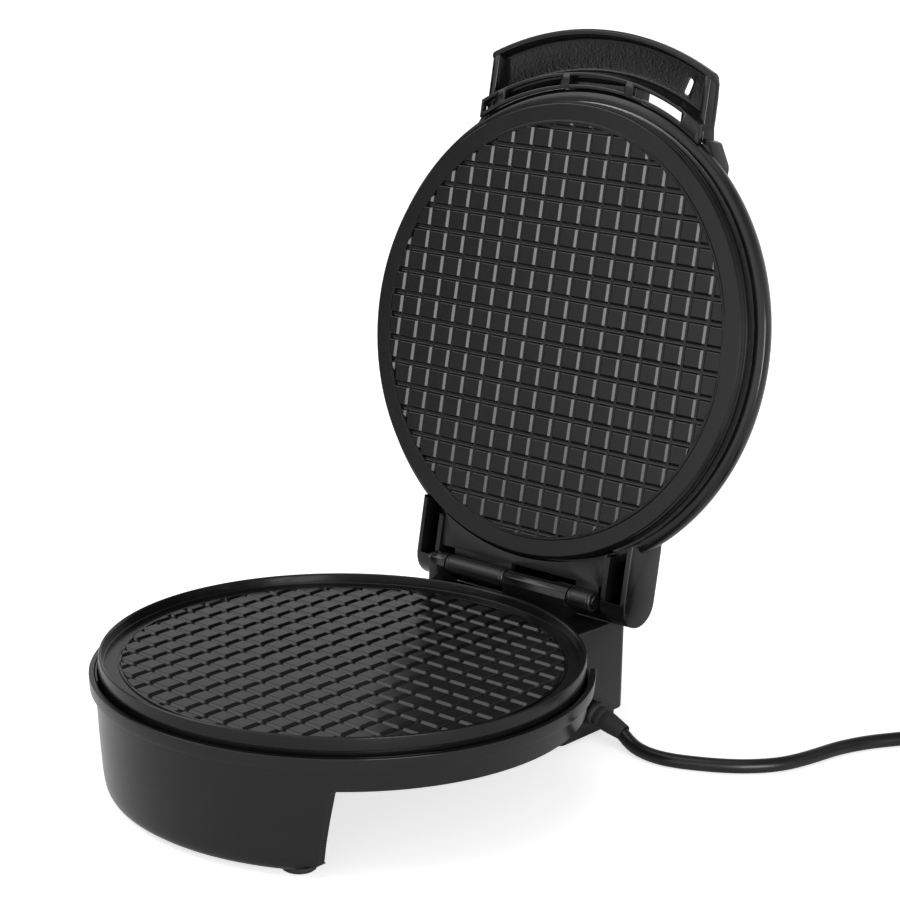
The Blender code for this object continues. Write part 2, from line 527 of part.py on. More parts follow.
cut(pod, prism("pod_hollow", inner, "Z", 60.0, 85.4, cutter=True))
for x in (-7.0, 7.0):
    cut(pod, rod("lens_hole", "Z", (x, -88.0), 3.8, 80, 95, cutter=True, segs=20))
lid(pod)
lid(revolve("power_lamp_lens", [(0, 84.0), (4.8, 84.0), (4.8, 85.1), (3.5, 85.1), (3.5, 88.2), (2.6, 88.8),
                                (0, 89.0)], M_RED, 20, (-7.0, -88.0)))
lid(revolve("ready_lamp_lens", [(0, 84.0), (4.8, 84.0), (4.8, 85.1), (3.5, 85.1), (3.5, 88.2), (2.6, 88.8),
                                (0, 89.0)], M_GREEN, 20, (7.0, -88.0)))
lid(box("lamp_carrier", -12.4, 12.4, -94.0, -82.0, 81.6, 83.7, M_CERAMIC))

# ---------------------------------------------------------------- swing the lid open
PIVOT = put(0, HINGE_Y, HINGE_Z)
lid_pivot = bpy.data.objects.new("lid_pivot", None)
PART.objects.link(lid_pivot)
lid_pivot.location = PIVOT
swing = Matrix.Rotation(math.radians(-LID_OPEN), 4, "X")
for ob in LID_PARTS:
    ob.data.transform(swing @ Matrix.Translation(-PIVOT))
    ob.parent = lid_pivot
bpy.context.view_layer.update()

# ---------------------------------------------------------------- cord, coil and plug
def smooth_path(keys, count):
    """Catmull-Rom through the key points, resampled evenly."""
    keys = [Vector(k) for k in keys]
    ext = [keys[0] * 2 - keys[1]] + keys + [keys[-1] * 2 - keys[-2]]
    dense = []
    for i in range(1, len(ext) - 2):
        p0, p1, p2, p3 = ext[i - 1:i + 3]
        for k in range(40):
            t = k / 40
            dense.append(0.5 * ((2 * p1) + (p2 - p0) * t + (2 * p0 - 5 * p1 + 4 * p2 - p3) * t * t
                                + (3 * p1 - p0 - 3 * p2 + p3) * t ** 3))
    dense.append(keys[-1])
    total = [0.0]
    for a, b in zip(dense, dense[1:]):
        total.append(total[-1] + (b - a).length)
    out = []
    for i in range(count):
        want = total[-1] * i / (count - 1)
        k = max(0, min(len(dense) - 2, next((j for j, t in enumerate(total) if t >= want), 1) - 1))
        f = (want - total[k]) / max(1e-9, total[k + 1] - total[k])
        out.append(tuple(dense[k].lerp(dense[k + 1], f)))
    return out


FLOOR = CORD_D / 2 + 0.1
straight = [tuple(Vector(CORD_EXIT) + EXIT_DIR * t) for t in (-5.5, -2.0, 3.0, 8.0, 13.0, 17.5)]
cord_keys = straight + [(68.3, 104.6, 4.2), (76.5, 102.6, FLOOR + 0.1), (88.0, 102.6, FLOOR),
                        (102.0, 108.6, FLOOR), (115.5, 117.6, FLOOR), (126.0, 130.3, FLOOR),
                        (131.2, 146.0, FLOOR), (134.5, 162.3, FLOOR), (141.0, 178.0, FLOOR),
                        (150.5, 190.5, FLOOR), (157.5, 201.5, FLOOR)]
swept_tube("power_cord", smooth_path(cord_keys, 64), CORD_D / 2, M_CORD, res=2)
cx, cy = COIL_CENTRE
r0, r1 = COIL_MID_R - COIL_HALF_W, COIL_MID_R + COIL_HALF_W
revolve("cord_coil", [(r0, 3.0), (r0 + 3.0, 0.0), (r1 - 3.0, 0.0), (r1, 3.0), (r1, COIL_H - 3.0),
                      (r1 - 3.0, COIL_H), (r0 + 3.0, COIL_H), (r0, COIL_H - 3.0)], M_CORD, 40, COIL_CENTRE)
plug_x, plug_y = 252.0, 196.0
plug = prism("mains_plug", fillet([(-9.0, -20.0), (9.0, -20.0), (12.0, -8.0), (12.0, 10.0), (6.0, 16.0), (4.0, 26.0),
                                   (-4.0, 26.0), (-6.0, 16.0), (-12.0, 10.0), (-12.0, -8.0)], 1.5, 2),
             "Z", 0.0, 17.0, M_CORD)
for s in (1, -1):
    join(plug, rod("blade", "Y", (s * 6.35, 8.5), 2.0, -38.0, -19.0, segs=12))
plug.data.transform(Matrix.Translation((plug_x * MM, plug_y * MM, 0)))

for ob in list(CUTS.objects):
    bpy.data.objects.remove(ob, do_unlink=True)
bpy.data.collections.remove(CUTS)
for ob in PART.objects:
    if ob.type == "MESH":
        bm = bmesh.new()
        bm.from_mesh(ob.data)
        bmesh.ops.remove_doubles(bm, verts=bm.verts, dist=2e-6)
        bmesh.ops.dissolve_limit(bm, angle_limit=math.radians(0.3), verts=bm.verts, edges=bm.edges)
        bmesh.ops.recalc_face_normals(bm, faces=bm.faces)
        bm.to_mesh(ob.data)
        bm.free()
        print(ob.name, len(ob.data.polygons), sum(len(p.vertices) - 2 for p in ob.data.polygons))
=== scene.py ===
import math

import bpy
from mathutils import Matrix, Vector


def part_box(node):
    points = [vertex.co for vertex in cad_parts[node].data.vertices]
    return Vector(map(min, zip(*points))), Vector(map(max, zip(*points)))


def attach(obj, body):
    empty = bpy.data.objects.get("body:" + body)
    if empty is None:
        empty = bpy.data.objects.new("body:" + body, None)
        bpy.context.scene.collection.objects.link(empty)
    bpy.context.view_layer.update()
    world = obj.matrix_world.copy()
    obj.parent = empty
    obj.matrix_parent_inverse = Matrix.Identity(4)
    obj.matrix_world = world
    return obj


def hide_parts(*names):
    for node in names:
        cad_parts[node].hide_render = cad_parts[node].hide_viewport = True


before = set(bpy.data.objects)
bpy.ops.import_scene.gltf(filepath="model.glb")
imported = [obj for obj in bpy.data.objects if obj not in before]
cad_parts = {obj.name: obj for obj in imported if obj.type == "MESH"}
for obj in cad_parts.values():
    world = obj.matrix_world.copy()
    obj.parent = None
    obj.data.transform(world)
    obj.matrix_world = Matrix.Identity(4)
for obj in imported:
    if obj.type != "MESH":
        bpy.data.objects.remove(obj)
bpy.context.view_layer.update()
bpy.ops.object.select_all(action="DESELECT")
print("frame loaded")

# Sizes are in millimetres from the middle of the lower plate, with the table at z = 0.
# Lid pieces are made closed and then swung open about the hinge pin.
mm = 0.001
plateLow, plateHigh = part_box("lower_baking_plate")
plateY = (plateLow.y + plateHigh.y) / 2
pinLow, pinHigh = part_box("hinge_pin")
hinge = Vector((0.0, (pinLow.y + pinHigh.y) / 2, (pinLow.z + pinHigh.z) / 2))
hingeY, hingeZ = (hinge.y - plateY) / mm, hinge.z / mm
lidOpening = 99.9
swing = (Matrix.Translation(hinge) @ Matrix.Rotation(math.radians(-lidOpening), 4, "X")
         @ Matrix.Translation(-hinge))

# place in metres, turns in degrees, lens in millimetres
camera = {"place": (0.6138, -0.7053, 0.3794), "azimuth": 39.987, "elevation": 14.78, "roll": 1.123, "lens": 95.38}


def at(x, y, z):
    return Vector((x * mm, y * mm + plateY, z * mm))


def addCamera():
    bpy.ops.object.camera_add(location=camera["place"])
    eye = bpy.context.object
    turn = (Matrix.Rotation(math.radians(camera["azimuth"]), 4, "Z")
            @ Matrix.Rotation(math.radians(90 - camera["elevation"]), 4, "X")
            @ Matrix.Rotation(math.radians(camera["roll"]), 4, "Z"))
    eye.rotation_euler = turn.to_euler()
    eye.data.lens = camera["lens"]
    eye.data.sensor_width = 36
    bpy.context.scene.camera = eye


addCamera()
print("camera placed")


class Signal:                                    # a node socket that can be used in sums
    def __init__(self, tree, socket=None):
        self.tree, self.socket = tree, socket

    def node(self, kind, settings=None, values=None, output=0):
        made = self.tree.nodes.new(kind)
        for name, value in (settings or {}).items():
            if name == "stops":
                for stop, (place, tone) in zip(made.color_ramp.elements, value):
                    stop.position, stop.color = place, (tone, tone, tone, 1)
            else:
                setattr(made, name, value)
        for name, value in (values or {}).items():
            if isinstance(value, Signal):
                self.tree.links.new(value.socket, made.inputs[name])
            else:
                made.inputs[name].default_value = value
        return Signal(self.tree, made.outputs[output])

    def maths(self, operation, first, second):
        return self.node("ShaderNodeMath", {"operation": operation}, {0: first, 1: second})

    def __add__(self, other):
        return self.maths("ADD", self, other)

    def __sub__(self, other):
        return self.maths("SUBTRACT", self, other)

    def __rsub__(self, other):
        return self.maths("SUBTRACT", other, self)

    def __mul__(self, other):
        return self.maths("MULTIPLY", self, other)

    __radd__, __rmul__ = __add__, __mul__


# colours: even tone and worn tone; rough: even value and how far it wanders;
# grain: size of the fine bump in millimetres and its height in microns; wave: the same for slow unevenness;
# gloss: strength of the reflection of a finish that isn't metal
micron = 0.001                                   # of a millimetre
finishes = {
    "glossBlack": {"colours": ((0.0036, 0.0036, 0.0038), (0.0062, 0.0062, 0.0066)), "rough": (0.17, 0.07),
                   "grain": (0.55, 6), "wave": (26, 60), "gloss": 0.36},
    "satinBlack": {"colours": ((0.0045, 0.0045, 0.0048), (0.0080, 0.0080, 0.0085)), "rough": (0.34, 0.10),
                   "grain": (0.5, 14), "wave": (18, 30), "gloss": 0.34},
    # pebbled grain is real; its tones are a little darker than glossBlack as painted shade in the handle's trough
    "pebbledShadedBlack": {"colours": ((0.0030, 0.0030, 0.0032), (0.0052, 0.0052, 0.0055)), "rough": (0.13, 0.06),
                     "grain": (1.2, 110), "wave": (7, 120), "gloss": 0.27},
    "nonstick": {"colours": ((0.0032, 0.0032, 0.0034), (0.0056, 0.0056, 0.0059)), "rough": (0.21, 0.06),
                 "grain": (0.42, 12), "wave": (14, 14), "gloss": 0.30},
    "zincSteel": {"colours": ((0.52, 0.52, 0.54), (0.36, 0.36, 0.38)), "rough": (0.30, 0.14),
                  "grain": (0.4, 10), "wave": (6, 10), "metal": 1.0},
    "sheetAluminium": {"colours": ((0.66, 0.66, 0.67), (0.50, 0.50, 0.51)), "rough": (0.36, 0.12),
                       "grain": (0.6, 12), "wave": (20, 60), "metal": 1.0},
    "elementSheath": {"colours": ((0.14, 0.13, 0.12), (0.24, 0.20, 0.16)), "rough": (0.52, 0.12),
                      "grain": (0.5, 18), "wave": (8, 20), "metal": 0.9},
    "softRubber": {"colours": ((0.014, 0.014, 0.014), (0.024, 0.024, 0.024)), "rough": (0.66, 0.12),
                   "grain": (0.5, 26), "wave": (8, 20), "gloss": 0.35},
    "cordJacket": {"colours": ((0.0060, 0.0060, 0.0063), (0.0100, 0.0100, 0.0106)), "rough": (0.30, 0.10),
                   "grain": (0.7, 14), "wave": (12, 30), "gloss": 0.36},
    "ceramic": {"colours": ((0.74, 0.71, 0.64), (0.60, 0.57, 0.50)), "rough": (0.56, 0.14),
                "grain": (0.6, 20), "wave": (7, 20), "gloss": 0.4},
    "blackSteel": {"colours": ((0.030, 0.030, 0.032), (0.055, 0.054, 0.052)), "rough": (0.36, 0.14),
                   "grain": (0.4, 14), "wave": (6, 10), "metal": 1.0},
    "platedBlade": {"colours": ((0.58, 0.58, 0.60), (0.42, 0.42, 0.44)), "rough": (0.22, 0.10),
                    "grain": (0.5, 6), "wave": (9, 8), "metal": 1.0},
    "redLens": {"colours": ((0.42, 0.012, 0.008), (0.30, 0.006, 0.004)), "rough": (0.10, 0.05),
                "grain": (1.1, 30), "wave": (5, 10), "gloss": 0.6},
    "greenLens": {"colours": ((0.012, 0.26, 0.045), (0.008, 0.18, 0.03)), "rough": (0.10, 0.05),
                  "grain": (1.1, 30), "wave": (5, 10), "gloss": 0.6},
}


def makeFinish(name):
    look = finishes[name]
    material = bpy.data.materials.new(name)
    material.use_nodes = True
    tree = material.node_tree
    shader = tree.nodes["Principled BSDF"]
    shader.inputs["Metallic"].default_value = look.get("metal", 0.0)
    shader.inputs["Specular IOR Level"].default_value = look.get("gloss", 0.5)
    start = Signal(tree)
    place = start.node("ShaderNodeTexCoord", output="Object")
    grainSize, grainHeight = look["grain"]
    waveSize, waveHeight = look["wave"]

    def noise(size, detail, roughness=0.5):
        return start.node("ShaderNodeTexNoise", None, {"Vector": place, "Scale": 1 / (size * mm),
                                                       "Detail": detail, "Roughness": roughness}, "Fac")
    cloud = noise(waveSize, 4, 0.6)
    grain = noise(grainSize, 2)
    wear = start.node("ShaderNodeValToRGB", {"stops": ((0.35, 0.0), (0.72, 1.0))}, {"Fac": cloud})
    tone = start.node("ShaderNodeMix", {"data_type": "RGBA"}, {"Factor": wear, "A": (*look["colours"][0], 1),
                                                              "B": (*look["colours"][1], 1)}, "Result")
    rough = look["rough"][0] + (cloud - 0.5) * look["rough"][1] + (grain - 0.5) * (look["rough"][1] * 0.5)
    height = grain * (grainHeight * micron) + cloud * (waveHeight * micron)
    bump = start.node("ShaderNodeBump", None, {"Height": height, "Distance": mm, "Strength": 1.0}, "Normal")
    for socket, value in (("Base Color", tone), ("Roughness", rough), ("Normal", bump)):
        tree.links.new(value.socket, shader.inputs[socket])
    return material


materials = {name: makeFinish(name) for name in finishes}
print("finishes mixed")


def clearSelection():
    bpy.ops.object.select_all(action="DESELECT")


def choose(piece):
    clearSelection()
    piece.select_set(True)
    bpy.context.view_layer.objects.active = piece


def tidyMesh(piece):                             # doubles merged, then faces turned outwards
    choose(piece)
    bpy.ops.object.mode_set(mode="EDIT")
    bpy.ops.mesh.select_all(action="SELECT")
    bpy.ops.mesh.remove_doubles(threshold=2e-6)
    bpy.ops.mesh.dissolve_degenerate(threshold=1e-6)
    bpy.ops.mesh.normals_make_consistent(inside=False)
    bpy.ops.object.mode_set(mode="OBJECT")
    return piece


def outline(name, points, filled=True):          # a circle whose corners are moved onto the outline
    clearSelection()
    bpy.ops.mesh.primitive_circle_add(vertices=len(points), radius=mm, fill_type="NGON" if filled else "NOTHING")
    piece = bpy.context.object
    piece.name = piece.data.name = name
    for vertex, point in zip(piece.data.vertices, points):
        vertex.co = point
    return piece


def drawOut(way):                                # extrudes the whole of the active piece
    bpy.ops.object.mode_set(mode="EDIT")
    bpy.ops.mesh.select_all(action="SELECT")
    bpy.ops.mesh.extrude_region_move(TRANSFORM_OT_translate={"value": way})
    bpy.ops.object.mode_set(mode="OBJECT")


def slab(name, points, axis, low, high):         # an outline across x, y or z, raised from low to high
    lay = {"x": lambda p, t: at(t, p[0], p[1]), "y": lambda p, t: at(p[0], t, p[1]),
           "z": lambda p, t: at(p[0], p[1], t)}[axis]
    piece = outline(name, [lay(p, low) for p in points])
    drawOut(lay(points[0], high) - lay(points[0], low))
    return tidyMesh(piece)


def block(name, x, y, z):
    return slab(name, [(x[0], y[0]), (x[1], y[0]), (x[1], y[1]), (x[0], y[1])], "z", *z)


def turned(name, profile, steps=144, centre=(0, 0), span=None):
    # (radius, height) outline spun about an upright axis; span is a pair of angles for part of a turn
    first = math.radians(span[0]) if span else 0.0
    cx, cy = centre
    piece = outline(name, [at(cx + r * math.cos(first), cy + r * math.sin(first), z) for r, z in profile],
                    filled=bool(span))
    bpy.ops.object.mode_set(mode="EDIT")
    if profile[0][0] == 0:                       # the edge along the axis is taken out
        bpy.ops.mesh.select_all(action="DESELECT")
        bpy.ops.object.mode_set(mode="OBJECT")
        for edge in piece.data.edges:
            edge.select = set(edge.vertices) == {0, len(profile) - 1}
        bpy.ops.object.mode_set(mode="EDIT")
        bpy.ops.mesh.select_mode(type="EDGE")
        bpy.ops.mesh.delete(type="EDGE_FACE")
        bpy.ops.mesh.select_mode(type="VERT")
    bpy.ops.mesh.select_all(action="SELECT")
    angle = math.radians(span[1] - span[0]) if span else math.tau
    bpy.ops.mesh.spin(steps=steps, angle=angle, center=at(*centre, 0), axis=(0, 0, 1))
    bpy.ops.object.mode_set(mode="OBJECT")
    return tidyMesh(piece)


def laidAlong(piece, start, heading):            # turns a piece made on the upright axis to lie along a heading
    turn = Vector((0, 0, 1)).rotation_difference(heading).to_matrix().to_4x4()
    piece.matrix_world = Matrix.Translation(start) @ turn @ Matrix.Translation(-at(0, 0, 0))
    choose(piece)
    bpy.ops.object.transform_apply(location=True, rotation=True, scale=True)
    return piece


def applyModifier(piece, kind, **settings):
    choose(piece)
    modifier = piece.modifiers.new(kind.title(), kind)
    for name, value in settings.items():
        setattr(modifier, name, value)
    bpy.ops.object.modifier_apply(modifier=modifier.name)
    return piece


def soften(piece, width, segments=2, angle=35):
    return applyModifier(piece, "BEVEL", width=width * mm, segments=segments, limit_method="ANGLE",
                         angle_limit=math.radians(angle), use_clamp_overlap=True, miter_outer="MITER_ARC")


def combine(piece, operation, *tools):
    for tool in tools:
        applyModifier(piece, "BOOLEAN", operation=operation, solver="EXACT", object=tool)
        bpy.data.objects.remove(tool, do_unlink=True)
    return tidyMesh(piece)


def cut(piece, *tools):
    return combine(piece, "DIFFERENCE", *tools)


def unite(piece, *tools):
    return combine(piece, "UNION", *tools)


def joinPieces(piece, *others):                  # several shells kept in one piece
    choose(piece)
    for other in others:
        other.select_set(True)
    bpy.ops.object.join()
    return piece


def rounded(points, radii, steps=5):             # a closed outline with its corners rounded
    made = []
    for i, corner in enumerate(points):
        radius = radii[i] if isinstance(radii, (list, tuple)) else radii
        corner = Vector(corner)
        if radius <= 0:
            made.append(tuple(corner))
            continue
        back = (Vector(points[i - 1]) - corner).normalized()
        ahead = (Vector(points[(i + 1) % len(points)]) - corner).normalized()
        half = back.angle(ahead) / 2
        centre = corner + (back + ahead).normalized() * (radius / math.sin(half))
        begin, end = [corner + way * (radius / math.tan(half)) - centre for way in (back, ahead)]
        turn = -begin.angle_signed(end)
        for k in range(steps + 1):
            a = turn * k / steps
            made.append((centre.x + begin.x * math.cos(a) - begin.y * math.sin(a),
                         centre.y + begin.x * math.sin(a) + begin.y * math.cos(a)))
    return made


# gives a finished piece its look and its place in the frame; inlay: a second finish and the test for its faces
def done(piece, finish, body, replaced=(), angle=32, inlay=None):
    inlaid = [inlay[1](face.center) for face in piece.data.polygons] if inlay else []
    choose(piece)
    if body == "lid":
        piece.matrix_world = swing
        bpy.ops.object.transform_apply(location=True, rotation=True, scale=True)
    if piece.type == "MESH":
        bpy.ops.object.shade_smooth_by_angle(angle=math.radians(angle))
    piece.data.materials.clear()
    piece.data.materials.append(materials[finish])
    if inlay:                                    # some faces take a second finish
        piece.data.materials.append(materials[inlay[0]])
        for face, chosen in zip(piece.data.polygons, inlaid):
            face.material_index = int(chosen)
    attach(piece, body)
    if replaced:
        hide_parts(*replaced)
    clearSelection()
    return piece


def ringOf(x, y, radius, count):                 # even points on a circle
    return [(x + radius * math.cos(math.tau * k / count), y + radius * math.sin(math.tau * k / count))
            for k in range(count)]


wideSteps = 180                                  # steps round the housings and plates
handleSteps = 288                                # steps round the handle, its web and the grille

cordLook = {"diameter": 6.0, "exit": (47.1, 106.3, 12.7), "heading": (1.0, -0.04, -0.30),
            # distances along the heading, inside the sleeve and just past its end
            "straight": (-5.5, -2.0, 3.0, 8.0, 13.0, 17.5),
            # places on the way down and over the table, up to the coil
            "run": ((68.3, 104.6, 4.2), (76.5, 102.6, 3.2), (88, 102.6, 3.1), (102, 108.6, 3.1),
                    (115.5, 117.6, 3.1), (126, 130.3, 3.1), (131.2, 146, 3.1), (134.5, 162.3, 3.1),
                    (140.5, 177.5, 3.1), (149.2, 191.5, 3.1), (157.2, 204.5, 3.1)),
            "runSpacing": 7.0, "coilCentre": (197.0, 211.0), "rings": (33.0, 27.0), "layers": (3.1, 9.1, 15.1),
            "coilStart": 163.0, "pointsPerTurn": 20,
            "swell": 1.0165,                     # the smooth spline runs a little inside its points
            # from the coil to the plug's sleeve, x and y from the coil's middle
            "tail": ((6, 27.6, 18.2), (13, 28.8, 20.4), (20, 30.4, 21.4), (27, 32, 20.6), (34, 32.6, 17.6),
                     (40.5, 31, 14.2), (47, 26.6, 11.3), (52, 20.5, 9.4), (54.6, 14, 8.6), (55, 9, 8.5),
                     (55, 4, 8.5)),
            "tailSpacing": 6.0}


def smoothRoute(keys, spacing, samples=30):      # even points on a soft curve through the keys
    keys = [Vector(key) for key in keys]
    ends = [keys[0] * 2 - keys[1]] + keys + [keys[-1] * 2 - keys[-2]]
    dense = []
    for i in range(1, len(ends) - 2):
        p0, p1, p2, p3 = ends[i - 1:i + 3]
        for k in range(samples):
            t = k / samples
            dense.append(0.5 * (2 * p1 + (p2 - p0) * t + (2 * p0 - 5 * p1 + 4 * p2 - p3) * t * t
                                + (3 * p1 - p0 - 3 * p2 + p3) * t ** 3))
    dense.append(keys[-1])
    route, gone = [dense[0]], 0.0
    for a, b in zip(dense, dense[1:]):
        gone += (b - a).length
        if gone >= spacing:
            route.append(b)
            gone = 0.0
    route[-1] = dense[-1]
    return route


def coilRoute():
    outer, inner = cordLook["rings"]
    low, middle, high = cordLook["layers"]
    # degrees wound, radius and height at the end of each stretch
    stages = ((0, outer, low), (330, outer, low), (360, inner, low), (655, inner, low), (690, inner, middle),
              (985, inner, middle), (1020, outer, middle), (1315, outer, middle), (1350, outer, high),
              (1645, outer, high), (1680, inner, high), (1863, inner, high))
    cx, cy = cordLook["coilCentre"]
    step = 360 / cordLook["pointsPerTurn"]
    route, wound = [], 0.0
    while wound <= stages[-1][0]:
        for (a, r0, z0), (b, r1, z1) in zip(stages, stages[1:]):
            if a <= wound <= b:
                t = (wound - a) / (b - a)
                t = t * t * (3 - 2 * t)
                r, z = r0 + (r1 - r0) * t, z0 + (z1 - z0) * t
                break
        angle = math.radians(cordLook["coilStart"] - wound)
        r *= cordLook["swell"]
        route.append(Vector((cx + r * math.cos(angle), cy + r * math.sin(angle), z)))
        wound += step / 2 if r0 != r1 or z0 != z1 else step
    return route


def makeCord():
    heading = Vector(cordLook["heading"]).normalized()
    start = Vector(cordLook["exit"])
    keys = [start + heading * gone for gone in cordLook["straight"]]
    keys += [Vector(place) for place in cordLook["run"]]
    coil = coilRoute()
    cx, cy = cordLook["coilCentre"]
    tail = coil[-2:] + [Vector((cx + x, cy + y, z)) for x, y, z in cordLook["tail"]]
    route = smoothRoute(keys + coil[:2], cordLook["runSpacing"])[:-1] + coil[1:-2]
    route += smoothRoute(tail, cordLook["tailSpacing"])
    curve = bpy.data.curves.new("power_lead", "CURVE")
    curve.dimensions = "3D"
    line = curve.splines.new("NURBS")
    line.points.add(len(route) - 1)
    for point, place in zip(line.points, route):
        point.co = (*at(*place), 1)
    line.order_u = 4
    line.use_endpoint_u = True
    line.resolution_u = curve.resolution_u = 4
    curve.bevel_depth = cordLook["diameter"] / 2 * mm
    curve.bevel_resolution = 5
    curve.use_fill_caps = True
    lead = bpy.data.objects.new("power_lead", curve)
    bpy.context.scene.collection.objects.link(lead)
    length = sum((b - a).length for a, b in zip(route, route[1:])) * mm
    print("cord length", round(length, 4), len(route))
    return lead, length


plugLook = {"centre": (252.0, 196.0), "thickness": 17.0,
            "bladeSpacing": 12.7, "bladeRadius": 2, "blade": (-38, -19),
            "body": [(-9.5, -20), (9.5, -20), (12, -8), (12, 10), (7, 17), (-7, 17), (-12, 10), (-12, -8)],
            "bodyRound": [3, 3, 6, 6, 5, 5, 6, 6], "ribs": 3, "rib": (-6, -4.6), "ribPitch": 5, "ribHalf": 7.5,
            "ribDepth": 0.7,
            "sleeve": [(0, -2), (5.4, -2), (5.2, 1.5), (4.5, 1.9), (4.5, 3.1), (5.0, 3.5), (4.8, 5.0), (4.2, 5.4),
                       (4.2, 6.4), (4.6, 6.8), (4.4, 8.4), (3.9, 8.8), (3.9, 9.8), (3.6, 11.5), (3.1, 12), (0, 12)]}


def makePlug():
    cx, cy = plugLook["centre"]
    thickness, half, depth = plugLook["thickness"], plugLook["ribHalf"], plugLook["ribDepth"]
    body = rounded(plugLook["body"], plugLook["bodyRound"], 4)
    plug = slab("plug_body", [(cx + x, cy + y) for x, y in body], "z", 0.1, thickness)
    soften(plug, 3.0, 4, 50)
    for k in range(plugLook["ribs"]):            # finger ribs across both broad faces
        near, far = [cy + y + k * plugLook["ribPitch"] for y in plugLook["rib"]]
        for z in (0.0, thickness):
            cut(plug, block("rib", (cx - half, cx + half), (near, far), (z - depth, z + depth)))
    sleeve = turned("plug_sleeve", plugLook["sleeve"], 32)
    laidAlong(sleeve, at(cx, cy + 16, thickness / 2), Vector((0, 1, 0)))
    joinPieces(plug, sleeve)
    near, far = plugLook["blade"]
    blades = []
    for side in (1, -1):
        ring = ringOf(cx + side * plugLook["bladeSpacing"] / 2, thickness / 2, plugLook["bladeRadius"], 24)
        blades.append(soften(slab("blade", ring, "y", cy + near, cy + far), 0.7, 3, 60))
    pins = joinPieces(*blades)
    pins.name = pins.data.name = "plug_blades"
    return plug, pins


tieLook = {"reach": (23.0, 37.0), "height": (0.95, 18.8), "corner": 3.0, "start": -3, "width": 6, "thickness": 0.9}


def makeTie():                                   # soft band that holds the coil
    cx, cy = cordLook["coilCentre"]
    near, far = [cx + x for x in tieLook["reach"]]
    low, high = tieLook["height"]
    loop = rounded([(near, low), (far, low), (far, high), (near, high)], tieLook["corner"], 5)
    tie = outline("coil_tie", [at(x, cy + tieLook["start"], z) for x, z in loop], filled=False)
    drawOut((0, tieLook["width"] * mm, 0))
    tidyMesh(tie)
    applyModifier(tie, "SOLIDIFY", thickness=tieLook["thickness"] * mm, offset=1.0)
    return soften(tie, 0.25, 2, 50)


# radius and distance along the lead, from the wall of the rear block
reliefLook = {"steps": 40,
              "profile": [(3.15, -6.0), (3.95, -6.0), (3.95, 0.4), (5.0, 0.5), (5.35, 0.9), (5.4, 2.2), (5.1, 2.7),
                          (4.5, 3.0), (4.42, 3.8), (4.62, 4.3), (4.6, 6.0), (4.4, 6.3), (4.38, 7.1), (4.5, 7.4),
                          (4.35, 10.0), (4.1, 12.6), (3.8, 15.2), (3.55, 17.2), (3.35, 18.0), (3.15, 18.1)]}


def alongExit(piece):                            # lays an upright piece on the way out of the rear block
    return laidAlong(piece, at(*cordLook["exit"]), Vector(cordLook["heading"]).normalized())


lead, leadLength = makeCord()
plugBody, plugBlades = makePlug()
coilTie = makeTie()
done(lead, "cordJacket", "base", ("power_cord", "cord_coil"))
done(plugBody, "cordJacket", "base", ("mains_plug",), 40)
done(plugBlades, "platedBlade", "base")
done(coilTie, "softRubber", "base")
relief = alongExit(turned("cord_relief", reliefLook["profile"], reliefLook["steps"]))
done(relief, "softRubber", "base", ("strain_relief",), 40)
at(*cordLook["exit"])
print("cord and plug made")


baseLook = {"top": 50.4, "arch": 36.6, "outside": 140, "underside": -6,
            # outline of the turned shell with the curled foot of the front leg
            "wall": [(0, 36.6), (95.6, 36.6), (95.0, 24), (94.2, 14), (93.2, 6.6), (91.4, 5.0), (77.5, 5.0),
                     (77.5, 2.6), (92.0, 2.6), (93.6, 2.9), (94.9, 3.8), (95.7, 5.2), (96.2, 7.5), (96.7, 11),
                     (97.1, 16), (97.6, 22), (98.1, 29), (98.5, 36.6), (98.8, 40), (99.1, 44), (99.3, 47.3),
                     (98.4, 47.3), (97.4, 45.2), (96.4, 45.0), (96.2, 39.0), (0, 39.0)],
            # half widths of the front leg, and the rounding of its two corners
            "legTop": 63.0, "legLow": 58.0, "legFoot": 54.2, "legCorner": 2.4, "legHeel": 2.6, "legSole": 5.6,
            "legBack": -36, "stripHalf": 50.5, "stripFront": -84, "stripBack": -66,
            # rear block: half width, front, back, underside and how far its top leans back
            "blockHalf": 47.5, "blockFront": 84.0, "blockBack": 126.4, "blockLow": 9.0, "blockLean": 2.6,
            "roomHalf": 44.4, "room": (87, 123.6), "seat": (122.2, 59.9, 11.9),
            "bore": [(0, -9), (4.3, -9), (4.3, 6), (0, 6)],
            # rims in degrees: the front one stands on the leg, the side ones run round the flange
            "frontSector": (234.5, 305.5), "rimChange": 400, "rightRim": 99.9, "leftRim": 101.6}


def makeFrontLeg(housing):                       # all that the leg and flange don't need is cut away
    arch, outside, underside = baseLook["arch"], baseLook["outside"], baseLook["underside"]
    foot, low, top = baseLook["legFoot"], baseLook["legLow"], baseLook["legTop"]
    sole, back = baseLook["legSole"], baseLook["legBack"]
    for side in (1, -1):                         # open arch to each side of the front leg
        opening = rounded([(side * outside, underside), (side * foot, underside), (side * foot, 2.0),
                           (side * low, sole), (side * top, arch), (side * outside, arch)],
                          [0, 0, 0, baseLook["legHeel"], baseLook["legCorner"], 0], 6)
        cut(housing, slab("opening", opening, "y", -outside, back))
        cut(housing, block("strip_end", sorted((side * baseLook["stripHalf"], side * outside)),
                           (baseLook["stripFront"], back), (underside, sole)))
    cut(housing, block("under", (-outside, outside), (-37, outside), (underside, arch)))
    cut(housing, block("strip_back", (-60, 60), (baseLook["stripBack"], back), (underside, sole)))


